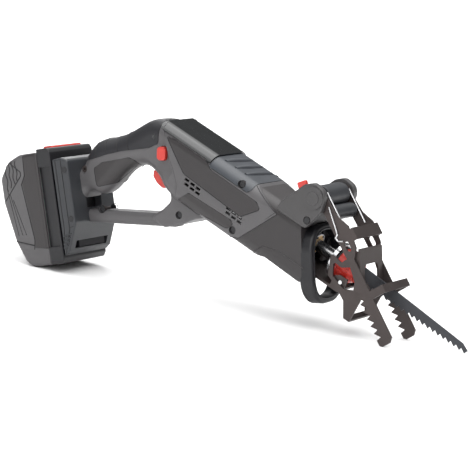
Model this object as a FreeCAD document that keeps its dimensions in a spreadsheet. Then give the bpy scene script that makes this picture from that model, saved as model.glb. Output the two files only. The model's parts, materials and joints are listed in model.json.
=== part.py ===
import FreeCAD, Part
import math
import os
import re
from FreeCAD import Placement, Rotation, Vector

# Battery reciprocating saw with a D-handle, a hinged branch holder and a slide-on battery pack.
# Everything is first placed in the tool frame, in millimetres: X forward along the plunger's axis,
# Z up, Y to the left, Z = 0 on the plunger's axis. At the end the whole saw is tipped nose down
# onto its battery pack and the tips of its holder arms, and its origin is moved to the middle of
# the bottom of its bounding box.

SIZES = {
    # housing
    "body_width": 66.0,
    "body_top": 26.5,
    "body_low": 36.0,
    "body_round": 12.0,
    "shell_wall": 2.5,
    "grip_angle": 47.0,
    "chin_width": 46.0,
    "guard_width": 24.0,
    "guard_thickness": 14.0,
    "skin_depth": 1.4,
    "skin_proud": 0.5,
    "cover_proud": 2.0,
    "skin_gap": 0.15,
    "front_low": 30.0,
    "nose_lean": 30.0,
    "nose_length": 78.0,
    "nose_depth": 15.0,
    "nose_lip": 6.0,
    "screw_head_radius": 3.6,
    # battery pack and the foot that it slides on
    "pack_angle": 53.0,
    "pack_length": 121.0,
    "pack_width": 75.0,
    "pack_depth": 70.0,
    "pack_wall": 2.5,
    "rail_width": 54.0,
    "rail_height": 11.0,
    "rail_gap": 0.4,
    "foot_width": 74.0,
    "foot_depth": 20.0,
    "cell_radius": 9.1,
    "cell_length": 65.0,
    # motor and gearing
    "motor_drop": 5.0,
    "motor_diameter": 44.0,
    "motor_length": 58.0,
    "motor_wall": 2.0,
    "armature_diameter": 30.0,
    "rotor_shaft_diameter": 5.0,
    "pinion_teeth": 8,
    "crank_teeth": 32,
    "crank_mean_radius": 20.0,
    "crank_throw": 10.0,
    "crank_x": 36.0,
    "plunger_diameter": 12.0,
    "bush_gap": 0.05,
    "collar_radius": 14.5,
    "collar_length": 22.0,
    "ring_radius": 18.0,
    # blade
    "blade_length": 138.0,
    "blade_thickness": 1.3,
    "blade_root": 16.0,
    "blade_tip": 8.0,
    "blade_teeth": 19,
    "tooth_depth": 3.2,
    # branch holder
    "pivot_x": 75.0,
    "pivot_z": 50.0,
    "pivot_diameter": 8.0,
    "hub_radius": 8.5,
    "ear_thickness": 7.0,
    "ear_radius": 13.5,
    "arm_angle": 32.5,
    "arm_length": 156.0,
    "arm_thickness": 1.8,
    "arm_gap": 0.6,
    "arm_teeth": 7,
    "arm_tooth_pitch": 7.6,
    # shoe
    "shoe_width": 45.0,
    "shoe_sheet": 2.0,
    "shoe_pivot_x": 134.0,
    "shoe_pivot_drop": 10.0,
    "shoe_pin_diameter": 4.0,
    # controls
    "trigger_width": 15.0,
    "trigger_travel": 5.0,
}

X_AXIS = Vector(1, 0, 0)
Y_AXIS = Vector(0, 1, 0)
Z_AXIS = Vector(0, 0, 1)

doc = FreeCAD.newDocument("ReciprocatingSaw")
sheet = doc.addObject("Spreadsheet::Sheet", "Sizes")
for row, (alias, value) in enumerate(SIZES.items(), start=1):
    sheet.set(f"A{row}", alias)
    sheet.set(f"B{row}", str(value))
    sheet.setAlias(f"B{row}", alias)
doc.recompute()


def size(alias):
    """The value of a cell of the sheet."""
    return float(sheet.get(alias))


def bind(obj, prop, expression):
    """Ties a property to the sheet: each alias in the expression is looked up there."""
    obj.setExpression(prop, re.sub(r"[a-z]\w+", lambda word: f"Sizes.{word[0]}", expression))


# ---------------------------------------------------------------- building blocks

def turned(axis):
    """The rotation that carries Z onto an axis."""
    return Rotation(Z_AXIS, axis)


def cylinder(label, radius, length, base, axis=Z_AXIS):
    obj = doc.addObject("Part::Cylinder", label)
    bind(obj, "Radius", radius)
    bind(obj, "Height", length)
    obj.Placement = Placement(base, turned(axis))
    return obj


def cone(label, radius_1, radius_2, length, base, axis=Z_AXIS):
    obj = doc.addObject("Part::Cone", label)
    bind(obj, "Radius1", radius_1)
    bind(obj, "Radius2", radius_2)
    bind(obj, "Height", length)
    obj.Placement = Placement(base, turned(axis))
    return obj


def box(label, sides, corner, place=Placement()):
    obj = doc.addObject("Part::Box", label)
    for prop, expression in zip(("Length", "Width", "Height"), sides):
        bind(obj, prop, expression)
    obj.Placement = place.multiply(Placement(corner, Rotation()))
    return obj


def fuse(label, *shapes):
    obj = doc.addObject("Part::MultiFuse", label)
    obj.Shapes = list(shapes)
    return obj


def cut(label, base, *tools):
    obj = doc.addObject("Part::Cut", label)
    obj.Base = base
    obj.Tool = tools[0] if len(tools) == 1 else fuse(f"{label}_tools", *tools)
    return obj


def common(label, first, second):
    obj = doc.addObject("Part::MultiCommon", label)
    obj.Shapes = [first, second]
    return obj


def again(label, shape, place=Placement()):
    """A second use of a shape, in the same place or moved."""
    obj = doc.addObject("Part::Compound", label)
    obj.Links = [shape]
    obj.Placement = place
    return obj


def inset(points, distance):
    """An outline, drawn clockwise or not, moved inwards by a distance (outwards if negative)."""
    count = len(points)
    area = sum(points[i - 1][0] * points[i][1] - points[i][0] * points[i - 1][1] for i in range(count))
    side = distance if area > 0 else -distance
    moved = []
    for i in range(count):
        (ax, az), (bx, bz), (cx, cz) = points[i - 1], points[i], points[(i + 1) % count]
        first = Vector(bx - ax, bz - az, 0).normalize()
        second = Vector(cx - bx, cz - bz, 0).normalize()
        turn = 1 + first.dot(second)
        moved.append((bx - side * (first.y + second.y) / turn, bz + side * (first.x + second.x) / turn))
    return moved


def rounded(points, radii):
    """Edges of an outline whose corners are arcs: each radius is one number, or one per corner."""
    count = len(points)
    if not isinstance(radii, (list, tuple)):
        radii = [radii] * count
    corners = []
    for i in range(count):
        here = Vector(points[i][0], points[i][1], 0)
        back = Vector(points[i - 1][0], points[i - 1][1], 0) - here
        ahead = Vector(points[(i + 1) % count][0], points[(i + 1) % count][1], 0) - here
        half = back.getAngle(ahead) / 2
        reach = min(radii[i] / math.tan(half), 0.45 * back.Length, 0.45 * ahead.Length)
        if reach < 0.01:
            corners.append((here, here, here))
            continue
        radius = reach * math.tan(half)
        back.normalize()
        ahead.normalize()
        middle = (back + ahead).normalize()
        centre = here + middle * (radius / math.sin(half))
        corners.append((here + back * reach, centre - middle * radius, here + ahead * reach))
    edges = []
    for i in range(count):
        start, middle, end = corners[i]
        if start != end:
            edges.append(Part.Arc(start, middle, end))
        edges.append(Part.LineSegment(end, corners[(i + 1) % count][0]))
    return edges


def plate(label, points, width, radii=0, rim=None, place=Placement(), plane="XZ_Plane"):
    """A body padded equally to both sides of a plane from an outline, its rim rounded if asked."""
    body = doc.addObject("PartDesign::Body", label)
    sketch = body.newObject("Sketcher::SketchObject", f"{label}_outline")
    sketch.AttachmentSupport = [(origin_plane(body, plane), "")]
    sketch.MapMode = "FlatFace"
    sketch.addGeometry(rounded(points, radii))
    pad = body.newObject("PartDesign::Pad", f"{label}_pad")
    pad.Profile = sketch
    pad.SideType = "Symmetric"
    bind(pad, "Length", width)
    body.Placement = place
    if rim:
        doc.recompute()
        half = pad.Length.Value / 2
        along = {"XZ_Plane": 1, "XY_Plane": 2, "YZ_Plane": 0}[plane]
        edges = [
            f"Edge{number}"
            for number, edge in enumerate(pad.Shape.Edges, start=1)
            if all(abs(abs(vertex.Point[along]) - half) < 1e-6 for vertex in edge.Vertexes)
        ]
        fillet = body.newObject("PartDesign::Fillet", f"{label}_rim")
        fillet.Base = (pad, edges)
        bind(fillet, "Radius", rim)
    return body


def origin_plane(body, role):
    return next(feature for feature in body.Origin.OriginFeatures if feature.Role == role)


def half_space(label, side):
    """A large block on one side of the middle plane: side is -1 for the right, 1 for the left."""
    reach = 400
    corner = Vector(-1.5 * reach, 0 if side > 0 else -reach, -1.5 * reach)
    obj = doc.addObject("Part::Box", label)
    obj.Length = 3 * reach
    obj.Width = reach
    obj.Height = 3 * reach
    obj.Placement = Placement(corner, Rotation())
    return obj


RIGHT = half_space("right_half", -1)
LEFT = half_space("left_half", 1)
SIDES = (("right", -1, RIGHT), ("left", 1, LEFT))
parts = []


def keep(*objects):
    """Marks objects as sub-parts of the saw."""
    for obj in objects:
        parts.append(obj)
    return objects[0]


# ---------------------------------------------------------------- housing

HALF = size("body_width") / 2
TOP = size("body_top")
LOW = -size("body_low")
FRONT_LOW = -size("front_low")
WALL = size("shell_wall")
FOOT_DEPTH = size("foot_depth")

# The nose face leans forward towards the bottom; the plunger's axis meets it at NOSE_X.
NOSE_X = 99
LEAN = math.radians(size("nose_lean"))
NOSE_SLOPE = math.tan(LEAN)


def nose_x(z):
    return NOSE_X - NOSE_SLOPE * z


# Battery frame: its X runs down the slide, its Z points away from the tool, towards the pack.
PACK_ANGLE = math.radians(size("pack_angle"))
PACK_ORIGIN = Vector(-210, 0, -74.5)
SLIDE = Vector(math.cos(PACK_ANGLE), 0, -math.sin(PACK_ANGLE))
OUTWARD = Vector(-math.sin(PACK_ANGLE), 0, -math.cos(PACK_ANGLE))
PACK_PLACE = Placement(PACK_ORIGIN, Rotation(SLIDE, Vector(0, -1, 0), OUTWARD, "XZY"))


def on_pack(along, out, across=0.0):
    """A point of the battery frame, in the tool frame."""
    return PACK_ORIGIN + SLIDE * along + OUTWARD * out + Y_AXIS * across


def flat(point):
    return (point.x, point.z)


BODY = [(-111, TOP + 2), (70, TOP + 2), (70, LOW - 2), (-62, LOW - 2), (-78, -20), (-76, -10), (-90, 4),
        (-103, 18)]
CHIN = [(-88, -22), (-40, -18), (-18, -24), (-27, LOW), (-37, -43), (-49, -57), (-65, -70), (-85, -70),
        (-75, -54),
        (-70, -41)]
CHIN_CORNERS = [4, 4, 4, 12, 8, 12, 8, 4, 14, 8]
# Sections of the grip from the foot up into the body: middle x, z, the slope of the grip's axis there,
# its thickness across the hand, its width and its corner radius.
GRIP_STATIONS = [
    (on_pack(27, -12).x, on_pack(27, -12).z, 45, 49, 40, 10),
    (on_pack(20, -34).x, on_pack(20, -34).z, 45, 43, 36, 13),
    (-152, -37, 47, 38, 36, 16),
    (-134, -17, 45, 39, 36, 16),
    (-118, -7, 33, 54, 41, 16),
    (-100, -3, 18, 60, 50, 14),
    (-74, -5, 0, 60, 62, 12),
    (-60, -3.5, 0, 55, 62, 12),
]
GUARD_AXIS = Vector(math.cos(math.radians(28.5)), 0, math.sin(math.radians(28.5)))
GUARD_REAR = on_pack(62, -FOOT_DEPTH + 4)
GUARD_REACH = 108


def rectangle(width, height, middle=(0, 0)):
    x, z = middle
    return [(x - width / 2, z - height / 2), (x + width / 2, z - height / 2),
            (x + width / 2, z + height / 2), (x - width / 2, z + height / 2)]


def body_block(grow=0.0):
    """The motor housing: its side outline, and a rounded section along X."""
    def make(label):
        section = rectangle(size("body_width") + 2 * grow, TOP - LOW + 2 * grow, (0, (TOP + LOW) / 2))
        length = plate(f"{label}_length", section, "400", size("body_round") + grow, plane="YZ_Plane")
        return common(label, plate(f"{label}_side", inset(BODY, -grow), f"body_width + {2 * grow}", 4),
                      length)
    return once("body", grow, make)


def grip_block(grow=0.0):
    """The grip: a smooth loft through its stations."""
    def make(label):
        sections = []
        for number, (x, z, slope, thickness, width, corner) in enumerate(GRIP_STATIONS):
            sketch = doc.addObject("Sketcher::SketchObject", f"{label}_station_{number}")
            sketch.addGeometry(rounded(rectangle(width + 2 * grow, thickness + 2 * grow), corner + grow))
            along = Vector(math.cos(math.radians(slope)), 0, math.sin(math.radians(slope)))
            sketch.Placement = Placement(Vector(x, 0, z), Rotation(Y_AXIS, Vector(-along.z, 0, along.x),
                                                                   along, "XYZ"))
            sections.append(sketch)
        loft = doc.addObject("Part::Loft", label)
        loft.Sections = sections
        loft.Solid = True
        return loft
    return once("grip", grow, make)


def guard_block(grow=0.0):
    """The bar that closes the handle in front of the fingers."""
    def make(label):
        middle = GUARD_REAR + GUARD_AXIS * (GUARD_REACH / 2)
        outline = rectangle(size("guard_width") + 2 * grow, size("guard_thickness") + 2 * grow)
        place = Placement(middle, Rotation(Y_AXIS, -28.5))
        return plate(label, outline, f"{GUARD_REACH}", 5.5 + grow, place=place, plane="YZ_Plane")
    return once("guard", grow, make)


def chin_block(grow=0.0):
    """Where the guard bar runs into the motor housing."""
    def make(label):
        return plate(label, inset(CHIN, -grow), f"chin_width + {2 * grow}", CHIN_CORNERS, "3")
    return once("chin", grow, make)


made = {}


def once(name, grow, make):
    """A block is made once for each amount that it grows or shrinks by."""
    key = (name, round(grow, 3))
    if key not in made:
        made[key] = make(f"{name}_block_{len(made)}")
    return made[key]


def skin(label, block, outline, rise, sink, corners=2.0):
    """The part of a block's surface inside an outline, from `sink` below it to `rise` above it."""
    layer = cut(f"{label}_layer", block(rise), block(-sink))
    return common(label, layer, plate(f"{label}_edge", outline, "body_width + 20", corners))


# Outlines, seen from the side, of what is let into the housing's surface.
SIDE_PANEL = [(-99, 18), (-84, 8), (-64, -5), (13, -8.5), (29, 9), (22, 14), (-38, 14.5), (-46, 19.5),
              (-90, 19.5)]
LOWER_PANEL = [(-60, -33), (-50, -19), (5, -17), (9, -20), (5, -27), (-28, -31), (-34, -34.5)]
REAR_COVER = [(-109, 21.8), (-48, 21.8), (-42, 18.6), (-42, TOP + 6), (-116, TOP + 6)]
TOP_PAD = [(-41.5, 16.5), (8, 16.5), (11, 20), (11, TOP + 6), (-41.5, TOP + 6)]
GRIP_PAD = [flat(on_pack(-20, -FOOT_DEPTH)), flat(on_pack(6, -FOOT_DEPTH - 1)), (-175, -54), (-163, -42),
            (-148, -29), (-120, -9), (-110, 2), (-124, 36), (-160, 20)]
GRIP_INSET = [(-170, -62), (-164, -52), (-138, -31), (-131, -31), (-124, -37), (-140, -62), (-158, -78)]


def pocket(name, block, outline, corners=2.0):
    """What is taken out of the shells so that a skin piece fits in with a gap all round."""
    gap = size("skin_gap")
    return skin(f"{name}_pocket", block, inset(outline, -gap), 3, size("skin_depth") + gap, corners)


def vent_slots(label, x, z):
    """Two rows of three slots through one side of the housing."""
    slots = []
    for column in range(3):
        for level in range(2):
            corner = Vector(x + 7.6 * column + 1.6 * level, -HALF - 5, z - 0.45 * column - 4.4 * level)
            slots.append(box(f"{label}_{column}_{level}", ("5.6", "body_width + 10", "2.8"), corner))
    return slots


# Screws that hold the two halves together: x, z, the housing's half width there, how deep each one goes.
CHIN_HALF = size("chin_width") / 2
GUARD_HALF = size("guard_width") / 2
SCREWS = [(-1, 20, HALF, HALF), (-55, -49, CHIN_HALF, CHIN_HALF), (11, -25, HALF, 5), (-181, -70, 18, 18),
          (-146, -98, GUARD_HALF, GUARD_HALF)]
LABEL_BLOCKS = (("side_panel", body_block, SIDE_PANEL), ("lower_panel", body_block, LOWER_PANEL),
                ("grip_inset", grip_block, GRIP_INSET))
SINGLE_SKINS = (("rear_cover", body_block, REAR_COVER), ("top_pad", body_block, TOP_PAD),
                ("grip_overmold", grip_block, GRIP_PAD))

# Where the dark front cover takes over from the two shells, and the cover's own outline.
FRONT_ZONE = [(12, TOP + 30), (12, TOP), (47, 15), (20, -29), (8, LOW), (8, LOW - 30), (200, LOW - 30),
              (200, TOP + 30)]
BULKHEAD = size("nose_depth") - 4


def front_outline(grow=0.0):
    back = BULKHEAD / math.cos(LEAN)
    top = TOP - 1
    return inset([(-30, top), (nose_x(top) - back, top), (nose_x(-32) - back, -32), (54, FRONT_LOW),
                  (39, LOW),
                  (-30, LOW)], -grow)


def front_block(grow=0.0):
    """The gear housing: narrower than the body, and ending square to the nose."""
    def make(label):
        section = rectangle(size("body_width") - 2 + 2 * grow, TOP - 1 - LOW + 2 * grow,
                            (0, (TOP - 1 + LOW) / 2))
        length = plate(f"{label}_length", section, "400", size("body_round") + grow, plane="YZ_Plane")
        return common(label, plate(f"{label}_side", front_outline(grow), f"body_width + {2 * grow}", 5),
                      length)
    return once("front", grow, make)


def front_zone(label, gap=0.0):
    return plate(label, inset(FRONT_ZONE, gap), "body_width + 60", 0)


NOSE_MIDDLE_Z = -9.5
NOSE_TURN = Rotation(Y_AXIS, -math.degrees(LEAN))
NOSE_PLACE = Placement(Vector(nose_x(NOSE_MIDDLE_Z), 0, NOSE_MIDDLE_Z), NOSE_TURN)


def on_nose(out, across, up):
    """A point of the nose face: out of it, across to the left, and up along it."""
    return NOSE_PLACE.multVec(Vector(out, across, up))


def nose_ring(label, grow, depth, middle, corner, rim=None):
    """A rounded oblong prism square to the nose face."""
    outline = rectangle(size("body_width") - 2 + 2 * grow, size("nose_length") + 2 * grow)
    place = Placement(on_nose(middle, 0, 0), NOSE_TURN)
    return plate(label, outline, depth, corner, rim, place, "YZ_Plane")


boot_outer = nose_ring("boot_outer", 0, "nose_depth", -size("nose_depth") / 2, 26, "3")
boot_inner = nose_ring("boot_inner", -size("nose_lip"), "nose_depth + 20", -size("nose_depth") / 2, 20)
boot_shape = cut("boot_shape", boot_outer, boot_inner)
keep(again("nose_boot", boot_shape))

front_cavity = front_block(-WALL)
carrier_slot = box("carrier_slot", ("80", "40", "10"), Vector(60, -20, -24))
nose_hole = cylinder("nose_hole", "plunger_diameter / 2 + 9", "60", Vector(70, 0, 0), X_AXIS)
front_body = common("front_body", front_block(), front_zone("front_zone_cover", 0.1))
front_cover = keep(cut("front_cover", front_body, front_cavity, boot_shape, carrier_slot, nose_hole))

# Foot: the stepped frame at the end of the grip that the pack slides into.
FOOT = [(0, 0), (-1, -12), (2, -FOOT_DEPTH), (67, -FOOT_DEPTH), (96, -7), (101, 0)]
RAIL_END = 84.0


def rail(label, gap, start, end):
    """The pack's T-shaped rail, or with a gap the channel for it."""
    head_low = -size("rail_height") - gap
    neck = rectangle(end - start, 8 + 2 * gap, ((start + end) / 2, 0))
    head = rectangle(end - start, size("rail_height") - 4 + 2 * gap,
                     ((start + end) / 2, (head_low - 4 + gap) / 2))
    return fuse(label, plate(f"{label}_neck", neck, f"rail_width - 8 + {2 * gap}", 0, None, PACK_PLACE),
                plate(f"{label}_head", head, f"rail_width + {2 * gap}", 0, None, PACK_PLACE))


foot_solid = plate("foot_solid", FOOT, "foot_width", [1, 2, 4, 6, 4, 1], "2.5", PACK_PLACE)
foot_channel = rail("foot_channel", size("rail_gap"), -12, RAIL_END + 10)
foot_window = plate("foot_window", rectangle(40, 30, (34, -14)), "26", 2, None, PACK_PLACE)
battery_foot = keep(cut("battery_foot", foot_solid, foot_channel, foot_window))

# The two shells are one hollow shape, cut along the middle plane.
shell_outer = fuse("shell_outer", body_block(), grip_block(), guard_block(), chin_block())
shell_inner = fuse("shell_inner", body_block(-WALL), grip_block(-WALL), front_cavity)
shell_pockets = [pocket(name, block, outline) for name, block, outline in LABEL_BLOCKS + SINGLE_SKINS]
shell_vents = vent_slots("rear_vent", -60.5, -10) + vent_slots("front_vent", -5.5, -10)
LOCK_OFF = Vector(-98, 0, -2)
lock_off_way = plate("lock_off_way", rectangle(11.6, 14.6), "body_width + 20", 4,
                     None, Placement(LOCK_OFF, Rotation(Y_AXIS, -25)))
TRIGGER = [(-109, -37), (-101, -41), (-93, -42), (-87, -37), (-85, -28), (-94, -20), (-111, -31)]
PULL = Vector(-math.sin(math.radians(size("grip_angle"))), 0, math.cos(math.radians(size("grip_angle"))))
TRAVEL = size("trigger_travel")
trigger_ways = [plate(f"trigger_way_{step}", inset(TRIGGER, -0.6), "trigger_width + 1.2", 1.5, None,
                      Placement(PULL * TRAVEL * step / 2, Rotation()))
                for step in range(3)]
screw_heads = []
screw_wells = []
bosses = []
shank_ways = []
for number, (x, z, half, deep) in enumerate(SCREWS):
    start = Vector(x, -half, z)
    for side in (-1, 1):
        mouth = Vector(x, side * (half + 1), z)
        screw_wells.append(cylinder(f"well_{number}_{side + 1}", "screw_head_radius + 0.4", "6.05", mouth,
                                    Y_AXIS * -side))
        boss_start = Vector(x, side * (half - 1), z)
        bosses.append(cylinder(f"boss_{number}_{side + 1}", "screw_head_radius + 1.6", f"{deep - 1}",
                               boss_start,
                               Y_AXIS * -side))
        if deep < half or side < 0:
            head_start = Vector(x, side * (half - 2.4), z)
            inward = Y_AXIS * -side
            shank = 2 * half - 12 if deep == half else deep - 2
            solid = fuse(f"screw_solid_{number}_{side + 1}",
                         cylinder(f"head_{number}_{side + 1}", "screw_head_radius", "2.6", head_start,
                                  inward),
                         cylinder(f"shank_{number}_{side + 1}", "screw_head_radius / 2", f"{shank}",
                                  head_start, inward))
            socket = plate(f"socket_{number}_{side + 1}", rectangle(2.6, 2.6), "3", 0, None,
                           Placement(head_start, Rotation()))
            screw_heads.append(cut(f"screw_{number}_{side + 1}", solid, socket))
    shank_ways.append(cylinder(f"shank_way_{number}", "screw_head_radius / 2 + 0.05", f"{2 * half}", start,
                               Y_AXIS))
shell_walls = cut("shell_walls", shell_outer, shell_inner)
boss_set = common("boss_set", fuse("boss_stubs", *bosses), shell_outer)
shell_bossed = cut("shell_bossed", fuse("shell_with_bosses", shell_walls, boss_set),
                   front_zone("front_zone_shell"), foot_solid, lock_off_way, *trigger_ways, *shell_pockets,
                   *shell_vents, *screw_wells, *shank_ways)
for name, _, half_block in SIDES:
    keep(common(f"{name}_shell", shell_bossed, half_block))

rise = size("skin_proud")
depth = size("skin_depth")
for name, block, outline in SINGLE_SKINS:
    proud = size("cover_proud") if name == "rear_cover" else rise
    keep(cut(name, skin(f"{name}_skin", block, outline, proud, depth), fuse(f"{name}_wells", *screw_wells)))
for name, block, outline in LABEL_BLOCKS:
    whole = skin(name, block, outline, 0.3, depth)
    for side, _, half_block in SIDES:
        keep(common(f"{side}_{name}", whole, half_block))


# ---------------------------------------------------------------- motor, gearing and plunger

MOTOR_Z = -size("motor_drop")
MOTOR_REAR = -74
MOTOR_FRONT = MOTOR_REAR + size("motor_length")
BEARING_THICK = 5
FAN_X = MOTOR_FRONT + 1.5


def tube(label, outer, inner, length, base, axis=X_AXIS):
    """A pipe: outer and inner radius."""
    bore = cylinder(f"{label}_bore", inner, length, base, axis)
    return cut(label, cylinder(f"{label}_body", outer, length, base, axis), bore)


def on_motor(x, y=0.0, z=0.0):
    return Vector(x, y, MOTOR_Z + z)


can_wall = tube("can_wall", "motor_diameter / 2", "motor_diameter / 2 - motor_wall", "motor_length",
                on_motor(MOTOR_REAR))
end_cap_disc = cylinder("end_cap_disc", "motor_diameter / 2", "6", on_motor(MOTOR_REAR - 6), X_AXIS)
end_cap_seat = cylinder("end_cap_seat", "8", f"{BEARING_THICK}", on_motor(MOTOR_REAR - BEARING_THICK),
                        X_AXIS)
end_cap_hole = cylinder("end_cap_hole", "rotor_shaft_diameter / 2 + 1", "10", on_motor(MOTOR_REAR - 8),
                        X_AXIS)
keep(cut("motor_end_cap", end_cap_disc, end_cap_seat, end_cap_hole))
front_disc = cylinder("front_disc", "motor_diameter / 2 - motor_wall", "3", on_motor(MOTOR_FRONT - 3),
                      X_AXIS)
front_disc_hole = cylinder("front_disc_hole", "rotor_shaft_diameter / 2 + 1", "10",
                           on_motor(MOTOR_FRONT - 5), X_AXIS)
keep(fuse("motor_can", can_wall, cut("can_front", front_disc, front_disc_hole)))

SHAFT_REAR = MOTOR_REAR - BEARING_THICK
CRANK_X = size("crank_x")
PINION_START = CRANK_X - size("crank_mean_radius") - 3.6
PINION_LENGTH = 6
keep(cylinder("rotor_shaft", "rotor_shaft_diameter / 2", f"{PINION_START + PINION_LENGTH - SHAFT_REAR}",
              on_motor(SHAFT_REAR), X_AXIS))
armature_core = tube("armature_core", "armature_diameter / 2", "rotor_shaft_diameter / 2", "34",
                     on_motor(MOTOR_REAR + 16))
slots = [box(f"armature_slot_{number}", ("40", "1.6", "7"),
             Vector(-1, -0.8, size("armature_diameter") / 2 - 5),
             Placement(on_motor(MOTOR_REAR + 14), Rotation(X_AXIS, number * 72))) for number in range(5)]
keep(cut("armature", armature_core, *slots))
keep(tube("commutator", "8", "rotor_shaft_diameter / 2", "9", on_motor(MOTOR_REAR + 4)))
fan_hub = tube("fan_hub", "8", "rotor_shaft_diameter / 2", "7", on_motor(FAN_X))
fan_disc = tube("fan_disc", "motor_diameter / 2 - 1.5", "rotor_shaft_diameter / 2", "1.4", on_motor(FAN_X))
blades = [box(f"fan_blade_{number}", ("7", "1.2", "13.5"), Vector(0, -0.6, 6.5),
              Placement(on_motor(FAN_X), Rotation(X_AXIS, number * 30))) for number in range(12)]
keep(fuse("cooling_fan", fan_hub, fan_disc, *blades))
rear_bearing = tube("rear_bearing", "7.95", "rotor_shaft_diameter / 2 + bush_gap", f"{BEARING_THICK}",
                    on_motor(MOTOR_REAR - BEARING_THICK))
FRONT_BEARING_X = FAN_X + 9
front_bearing = tube("front_bearing", "7.95", "rotor_shaft_diameter / 2 + bush_gap", f"{BEARING_THICK}",
                     on_motor(FRONT_BEARING_X))
keep(fuse("rotor_bearings", rear_bearing, front_bearing))
brush_pair = [box(f"brush_{side}", ("6", "9", "4"), Vector(MOTOR_REAR + 5.5, 8.2 if side > 0 else -17.2,
                                                           MOTOR_Z - 2))
              for side in (-1, 1)]
keep(fuse("carbon_brushes", *brush_pair))

# Pinion and crown gear: the same tooth pitch where they meet, four turns of the rotor to one of the crank.
PINION_TEETH = int(size("pinion_teeth"))
CRANK_TEETH = int(size("crank_teeth"))
PITCH_RADIUS = size("crank_mean_radius") * PINION_TEETH / CRANK_TEETH
TOOTH_WIDTH = 0.25 * 2 * math.pi * PITCH_RADIUS / PINION_TEETH
PINION_TIP = PITCH_RADIUS + 1.2
PINION_ROOT = PITCH_RADIUS - 1.1
GEAR_TOP = MOTOR_Z - PINION_TIP - 0.8
pinion_core = tube("pinion_core", f"{PINION_ROOT}", "rotor_shaft_diameter / 2", f"{PINION_LENGTH}",
                   on_motor(PINION_START))
pinion_teeth = [box(f"pinion_tooth_{number}", (f"{PINION_LENGTH}", f"{TOOTH_WIDTH}",
                                               f"{PINION_TIP - PINION_ROOT + 0.6}"),
                    Vector(0, -TOOTH_WIDTH / 2, PINION_ROOT - 0.6),
                    Placement(on_motor(PINION_START),
                              Rotation(X_AXIS, (number + 0.5) * 360 / PINION_TEETH)))
                for number in range(PINION_TEETH)]
keep(fuse("pinion", pinion_core, *pinion_teeth))
GEAR_THICK = 6
GEAR_RADIUS = size("crank_mean_radius") + 3.5
TOOTH_TOP = MOTOR_Z - PINION_ROOT - 0.6
gear_disc = tube("gear_disc", f"{GEAR_RADIUS}", "4", f"{GEAR_THICK}",
                 Vector(CRANK_X, 0, GEAR_TOP - GEAR_THICK), Z_AXIS)
crank_teeth = [box(f"crank_tooth_{number}", ("5.5", f"{TOOTH_WIDTH}", f"{TOOTH_TOP - GEAR_TOP + 1}"),
                   Vector(GEAR_RADIUS - 5.5, -TOOTH_WIDTH / 2, GEAR_TOP - 1),
                   Placement(Vector(CRANK_X, 0, 0), Rotation(Z_AXIS, number * 360 / CRANK_TEETH)))
               for number in range(CRANK_TEETH)]
gear_pin_hole = cylinder("gear_pin_hole", "3", "30", Vector(CRANK_X, size("crank_throw"), GEAR_TOP - 15))
keep(cut("crank_gear", fuse("gear_solid", gear_disc, *crank_teeth), gear_pin_hole))
CRANK_FOOT = LOW + WALL + 5.5
YOKE_HALF = 6.5
PIN_TOP = -YOKE_HALF - 0.6
crank_rod = cylinder("crank_rod", "4", f"{GEAR_TOP - CRANK_FOOT}", Vector(CRANK_X, 0, CRANK_FOOT))
crank_web = cylinder("crank_web", f"{GEAR_RADIUS - 8}", "2", Vector(CRANK_X, 0, GEAR_TOP - GEAR_THICK - 2))
crank_pin = cylinder("crank_pin", "3", f"{PIN_TOP - GEAR_TOP + GEAR_THICK + 1}",
                     Vector(CRANK_X, size("crank_throw"), GEAR_TOP - GEAR_THICK - 1))
keep(fuse("crank_shaft", crank_rod, crank_web, crank_pin))
keep(tube("crank_bearing", "9.5", "4 + bush_gap", "6", Vector(CRANK_X, 0, CRANK_FOOT), Z_AXIS))

# Plunger: the yoke over the crank pin, the rod through two bushes, and the blade clamp.
STROKE = size("crank_throw")
ROD_START = CRANK_X + 7
COLLAR_START = 116
REAR_BUSH_X = ROD_START + STROKE + 7.5
FRONT_BUSH_X = 76
BUSH_LENGTH = 9
YOKE_BACK = 7.2
yoke_block = box("yoke_block", (f"{ROD_START + 1 - CRANK_X + YOKE_BACK}", "33", f"{2 * YOKE_HALF}"),
                 Vector(CRANK_X - YOKE_BACK, -16.5, -YOKE_HALF))
yoke_slot = box("yoke_slot", ("6.6", "27", "30"), Vector(CRANK_X - 3.3, -13.5, -15))
keep(cut("yoke", yoke_block, yoke_slot))
CLAMP_END = COLLAR_START + size("collar_length")
rod = cylinder("rod", "plunger_diameter / 2", f"{CLAMP_END - 2 - ROD_START - 1}",
               Vector(ROD_START + 1, 0, 0), X_AXIS)
blade_slot = box("blade_slot", ("40", "blade_thickness", "40"),
                 Vector(COLLAR_START + 4, -size("blade_thickness") / 2, -20))
pin_way = cylinder("pin_way", "1.5", "60", Vector(COLLAR_START + 9, -30, 0), Y_AXIS)
keep(cut("plunger", rod, blade_slot, pin_way))
bushes = [tube(f"bush_{start:.0f}", "10", "plunger_diameter / 2 + bush_gap", f"{BUSH_LENGTH}",
               Vector(start, 0, 0))
          for start in (REAR_BUSH_X, FRONT_BUSH_X)]
keep(fuse("plunger_bushes", *bushes))
keep(tube("clamp_ring", "ring_radius", "plunger_diameter / 2", "4", Vector(COLLAR_START - 4.5, 0, 0)))

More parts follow.
